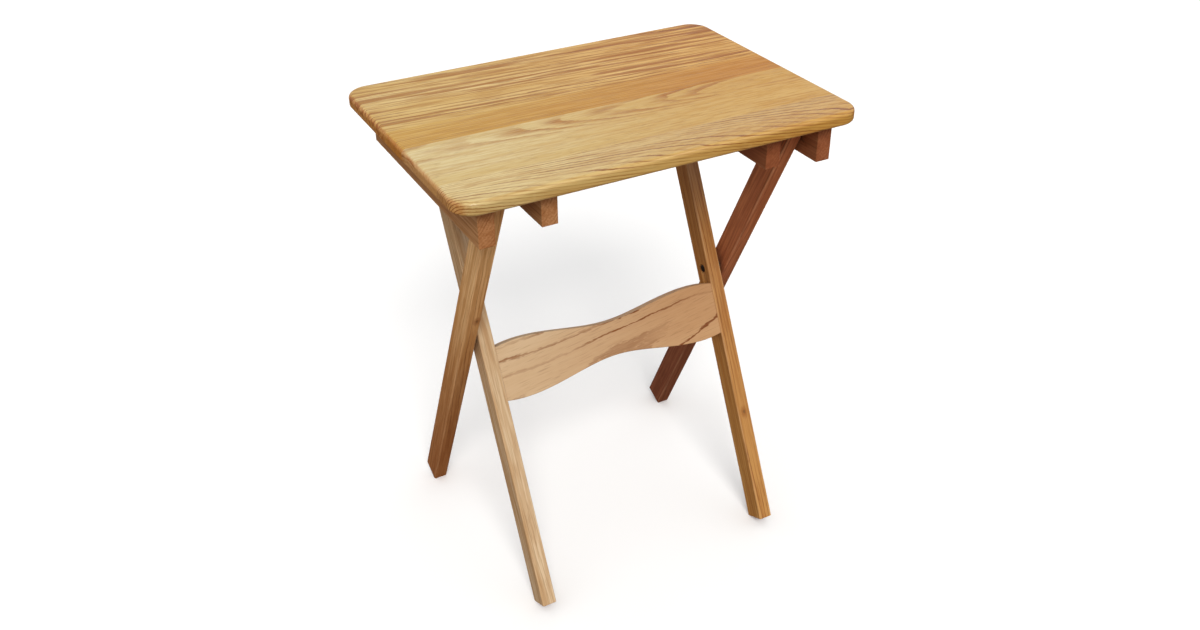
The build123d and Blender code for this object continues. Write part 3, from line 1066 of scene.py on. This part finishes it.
# ------------------------------------------------------------------------ screws
@dataclass
class Screws:
    """Countersunk wood screws with cross slots, made from points by Geometry Nodes."""

    plate: Metal = Metal((0.60, 0.59, 0.55), 0.34)
    head_radius: float = 4.2 * MM
    head_height: float = 2.6 * MM
    shank_radius: float = 2.0 * MM
    slot_length: float = 4.6 * MM
    slot_width: float = 1.1 * MM
    slot_depth: float = 1.3 * MM
    facets: int = 28

    def places(self, node: str) -> list[Vector]:
        """Find the screws of a CAD node.

        Args:
            node: the CAD node, a solid for each screw.

        Returns:
            Middle of each screw's head face.
        """
        bm = bmesh.new()
        bm.from_mesh(frame["nodes"][node].data)
        bmesh.ops.remove_doubles(bm, verts=bm.verts, dist=1e-6)
        seen: set[int] = set()
        found = []
        for start in bm.verts:
            if start.index in seen:
                continue
            island, queue = [], [start]
            seen.add(start.index)
            while queue:
                vert = queue.pop()
                island.append(vert.co.copy())
                for edge in vert.link_edges:
                    other = edge.other_vert(vert)
                    if other.index not in seen:
                        seen.add(other.index)
                        queue.append(other)
            lows = [min(co[axis] for co in island) for axis in range(3)]
            highs = [max(co[axis] for co in island) for axis in range(3)]
            found.append(Vector(((lows[0] + highs[0]) / 2, (lows[1] + highs[1]) / 2, lows[2])))
        bm.free()
        return found

    def tree(self, length: float, material: bpy.types.Material) -> bpy.types.NodeTree:
        """Build the Geometry Nodes tree that puts one screw on every point.

        Args:
            length: length of a screw, head included, in metres.
            material: its material.

        Returns:
            The node tree, with named inputs for its sizes.
        """
        tree = bpy.data.node_groups.new("wood_screws", "GeometryNodeTree")
        sockets = tree.interface
        sockets.new_socket("Geometry", in_out="INPUT", socket_type="NodeSocketGeometry")
        for label, value in (
            ("Head Radius", self.head_radius), ("Head Height", self.head_height),
            ("Shank Radius", self.shank_radius), ("Length", length),
        ):
            socket = sockets.new_socket(label, in_out="INPUT", socket_type="NodeSocketFloat")
            socket.default_value = value
        sockets.new_socket("Geometry", in_out="OUTPUT", socket_type="NodeSocketGeometry")
        new, link = tree.nodes.new, tree.links.new
        sizes, result = new("NodeGroupInput").outputs, new("NodeGroupOutput")

        def cone(bottom: Socket, top: Socket, depth: Socket) -> Socket:
            """Add a cone or a cylinder that stands on the origin.

            Args:
                bottom: radius at the foot.
                top: radius at the top.
                depth: height.

            Returns:
                The mesh socket.
            """
            node = new("GeometryNodeMeshCone")
            node.inputs["Vertices"].default_value = self.facets
            link(bottom, node.inputs["Radius Bottom"])
            link(top, node.inputs["Radius Top"])
            link(depth, node.inputs["Depth"])
            return node.outputs["Mesh"]

        head = cone(sizes["Head Radius"], sizes["Shank Radius"], sizes["Head Height"])
        rest = new("ShaderNodeMath")
        rest.operation = "SUBTRACT"
        link(sizes["Length"], rest.inputs[0])
        link(sizes["Head Height"], rest.inputs[1])
        shank = cone(sizes["Shank Radius"], sizes["Shank Radius"], rest.outputs[0])
        lift, lifted = new("ShaderNodeCombineXYZ"), new("GeometryNodeTransform")
        link(sizes["Head Height"], lift.inputs["Z"])
        link(shank, lifted.inputs["Geometry"])
        link(lift.outputs[0], lifted.inputs["Translation"])
        slots, long, wide = new("GeometryNodeJoinGeometry"), self.slot_length, self.slot_width
        for size in ((long, wide), (wide, long)):
            slot = new("GeometryNodeMeshCube")
            slot.inputs["Size"].default_value = (*size, 2.0 * self.slot_depth)
            link(slot.outputs["Mesh"], slots.inputs["Geometry"])
        cut, whole = new("GeometryNodeMeshBoolean"), new("GeometryNodeJoinGeometry")
        cut.operation = "DIFFERENCE"
        link(head, cut.inputs["Mesh 1"])
        link(slots.outputs["Geometry"], cut.inputs["Mesh 2"])
        link(cut.outputs["Mesh"], whole.inputs["Geometry"])
        link(lifted.outputs["Geometry"], whole.inputs["Geometry"])
        spread, real = new("GeometryNodeInstanceOnPoints"), new("GeometryNodeRealizeInstances")
        plating = new("GeometryNodeSetMaterial")
        plating.inputs["Material"].default_value = material
        link(sizes["Geometry"], spread.inputs["Points"])
        link(whole.outputs["Geometry"], spread.inputs["Instance"])
        link(spread.outputs["Instances"], real.inputs["Geometry"])
        link(real.outputs["Geometry"], plating.inputs["Geometry"])
        link(plating.outputs["Geometry"], result.inputs["Geometry"])
        return tree

    def build(self) -> None:
        """Build the screws of each CAD node."""
        material = self.plate.material("zinc_plated_steel")
        for node in ("cleat_screws_left", "cleat_screws_right", "stop_screws"):
            low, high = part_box(node)
            mesh = bpy.data.meshes.new(f"{node}_places")
            mesh.from_pydata([tuple(place) for place in self.places(node)], [], [])
            holder = plain_object(f"{node}_places", mesh)
            modifier = holder.modifiers.new("screws", "NODES")
            modifier.node_group = self.tree(high.z - low.z, material)
            graph = bpy.context.evaluated_depsgraph_get()
            made = bpy.data.meshes.new_from_object(holder.evaluated_get(graph))
            bpy.data.objects.remove(holder)
            made.shade_smooth()
            made.set_sharp_from_angle(angle=math.radians(SHARP_EDGE_DEG))
            claim(plain_object(f"{node}_part", made), node, material)


# ------------------------------------------------------------------------ studio
@dataclass
class Studio:
    """Pale floor and backdrop, soft light and the camera."""

    camera_place: Point = (-0.6678, -1.2443, 1.2327)
    azimuth_deg: float = -28.25
    elevation_deg: float = 32.545
    roll_deg: float = -0.50
    lens_mm: float = 35.16
    sensor_mm: float = 36.0
    floor_half: float = 60.0
    drum_radius: float = 25.0
    drum_height: float = 60.0
    key_from: Point = (-0.24, -0.70, 0.67)
    key_colour: Colour = (1.0, 0.975, 0.94)
    key_strength: float = 1.75
    key_angle_deg: float = 24.0
    above: Colour = (0.85, 0.85, 0.85)
    below: Colour = (0.17, 0.095, 0.055)
    fade: tuple[float, float] = (-0.35, 0.35)

    def build(self) -> None:
        """Build the floor, the backdrop, the lights and the camera."""
        self.floor()
        self.backdrop()
        self.lights()
        self.camera()

    def floor(self) -> None:
        """Lay a wide pale floor that throws no light back on the table."""
        bm = bmesh.new()
        bmesh.ops.create_grid(bm, x_segments=1, y_segments=1, size=self.floor_half)
        floor = plain_object("studio_floor", mesh_from(bm, "studio_floor"))
        shader = Shader("studio_floor")
        shader.surface.inputs["Base Color"].default_value = (0.95, 0.95, 0.95, 1.0)
        shader.surface.inputs["Roughness"].default_value = 0.95
        shader.surface.inputs["Specular IOR Level"].default_value = 0.1
        floor.data.materials.append(shader.material)
        floor.visible_diffuse = False
        floor.visible_glossy = False

    def backdrop(self) -> None:
        """Set up a white drum round the floor, seen only by the camera."""
        bm = bmesh.new()
        bmesh.ops.create_cone(
            bm, cap_ends=False, segments=96, radius1=self.drum_radius, radius2=self.drum_radius,
            depth=self.drum_height,
        )
        drum = plain_object("studio_backdrop", mesh_from(bm, "studio_backdrop"))
        shader = Shader("studio_backdrop")
        shader.surface.inputs["Base Color"].default_value = (0.0, 0.0, 0.0, 1.0)
        shader.surface.inputs["Specular IOR Level"].default_value = 0.0
        shader.surface.inputs["Emission Color"].default_value = (1.0, 1.0, 1.0, 1.0)
        shader.surface.inputs["Emission Strength"].default_value = 1.0
        drum.data.materials.append(shader.material)
        drum.visible_diffuse = False
        drum.visible_glossy = False
        drum.visible_transmission = False
        drum.visible_shadow = False

    def lights(self) -> None:
        """Light a room that is pale above and warm and dim below, with a high soft key light."""
        data = bpy.data.lights.new("key", "SUN")
        data.energy = self.key_strength
        data.angle = math.radians(self.key_angle_deg)
        data.color = self.key_colour
        key = bpy.data.objects.new("key", data)
        key.rotation_euler = Vector(self.key_from).to_track_quat("Z", "Y").to_euler()
        bpy.context.scene.collection.objects.link(key)
        world = bpy.data.worlds.new("studio_room")
        world.use_nodes = True
        new, link = world.node_tree.nodes.new, world.node_tree.links.new
        direction, parts = new("ShaderNodeTexCoord"), new("ShaderNodeSeparateXYZ")
        height, mix = new("ShaderNodeMapRange"), new("ShaderNodeMix")
        link(direction.outputs["Generated"], parts.inputs[0])
        link(parts.outputs["Z"], height.inputs[0])
        height.interpolation_type = "SMOOTHSTEP"
        height.inputs[1].default_value, height.inputs[2].default_value = self.fade
        mix.data_type = "RGBA"
        link(height.outputs[0], mix.inputs[0])
        mix.inputs[6].default_value = (*self.below, 1.0)
        mix.inputs[7].default_value = (*self.above, 1.0)
        link(mix.outputs[2], world.node_tree.nodes["Background"].inputs["Color"])
        bpy.context.scene.world = world

    def camera(self) -> None:
        """Place the camera in front of the table, to its left and above it."""
        data = bpy.data.cameras.new("camera")
        data.lens = self.lens_mm
        data.sensor_width = self.sensor_mm
        camera = bpy.data.objects.new("camera", data)
        turn = (
            Matrix.Rotation(math.radians(self.azimuth_deg), 4, "Z")
            @ Matrix.Rotation(math.radians(90.0 - self.elevation_deg), 4, "X")
            @ Matrix.Rotation(math.radians(self.roll_deg), 4, "Z")
        )
        camera.matrix_world = Matrix.Translation(self.camera_place) @ turn
        bpy.context.scene.collection.objects.link(camera)
        bpy.context.scene.camera = camera


def main() -> None:
    """Build the studio, then dress and build every piece of the table."""
    logging.basicConfig(level=logging.INFO, format="%(name)s: %(message)s")
    bpy.context.scene.view_settings.view_transform = "Standard"
    Studio().build()
    top = Top()
    top.boards()
    top.rails()
    Legs().dress()
    Stretcher().dress()
    Hardware().build()
    Screws().build()


if __name__ == "__main__":
    main()
